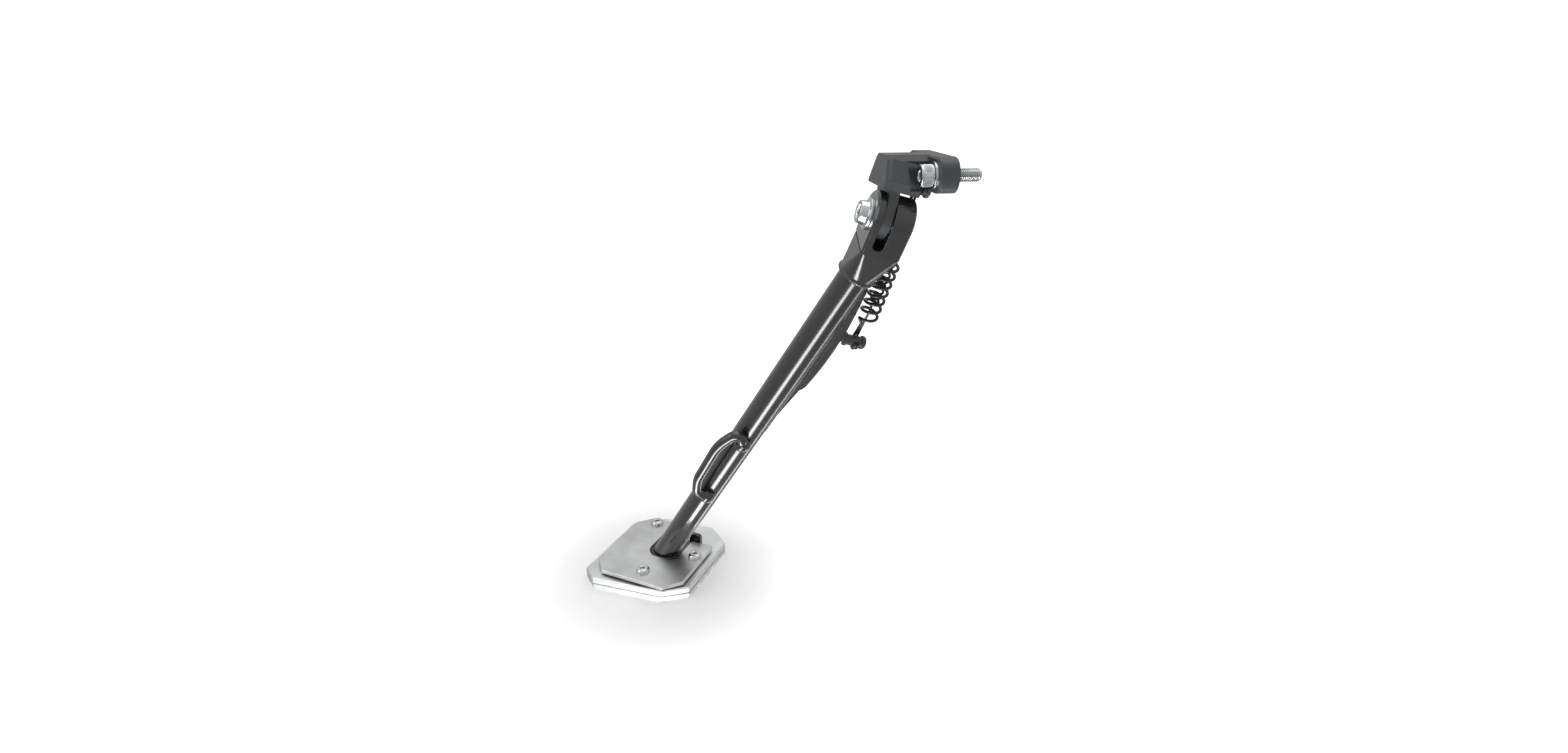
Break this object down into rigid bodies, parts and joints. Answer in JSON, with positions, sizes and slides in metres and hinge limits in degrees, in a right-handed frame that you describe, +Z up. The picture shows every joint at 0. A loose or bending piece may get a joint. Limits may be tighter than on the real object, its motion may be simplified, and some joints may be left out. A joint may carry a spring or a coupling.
{
  "type": "motorcycle kickstand",
  "caption": "Motorcycle side stand: forked steel leg on a pivot bracket with over-centre springs, a heel loop and a clamped-on octagonal foot enlarger.",
  "frame": {"origin": "centre of the two bracket bolts, on the bracket's inboard face that lies on the frame", "axes": "+X inboard, to the machine's right; +Y forward; +Z up; the stand is deployed at rest"},
  "size_m": [0.2833, 0.2052, 0.3763],
  "materials": {
    "leg_paint": "gloss black powder coat",
    "bracket_paint": "satin dark grey powder coat on a forging",
    "zinc_plate": "bright zinc plate",
    "sintered_bronze": "oil-filled sintered bronze",
    "thrust_steel": "ground steel",
    "phosphated_steel": "grey phosphate",
    "spring_steel": "black phosphated and oiled wire",
    "brushed_stainless": "fine brushed stainless sheet",
    "stainless_screw": "bright turned stainless",
    "machined_aluminium": "satin machined and clear anodised"
  },
  "bodies": {
    "bracket": {"mounting_bracket": "bracket_paint", "bracket_bolts": "zinc_plate", "bracket_washers": "zinc_plate", "pivot_bush": "sintered_bronze", "thrust_washers": "thrust_steel", "spring_post": "phosphated_steel"},
    "leg": {"pivot_bolt": "zinc_plate", "fork_head": "leg_paint", "leg_tube": "leg_paint", "head_weld": "leg_paint", "gusset_plate": "leg_paint", "gusset_weld": "leg_paint", "spring_peg": "phosphated_steel", "foot_loop": "leg_paint", "loop_welds": "leg_paint", "foot_plate": "leg_paint", "foot_weld": "leg_paint", "clamp_plate": "brushed_stainless", "clamp_screws": "stainless_screw", "clamp_spacers": "stainless_screw", "base_plate": "machined_aluminium"},
    "springs": {"return_spring": "spring_steel", "inner_spring": "spring_steel"}
  },
  "joints": [
    {"name": "leg_swing", "type": "hinge", "parent": "bracket", "child": "leg", "pos_m": [-0.03894, -0.012, -0.0261], "axis": [-0.9646, 0, 0.2639], "range_deg": [0, 105], "deforming": ["return_spring", "inner_spring"]},
    {"name": "spring_swing", "type": "hinge", "parent": "bracket", "child": "springs", "pos_m": [-0.01146, 0.00004, -0.0109], "axis": [-0.9646, 0, 0.2639], "range_deg": [0, 87]}
  ],
  "couplings": [
    {"joint": "spring_swing", "follows": "leg_swing", "ratio": 0.81648}
  ]
}
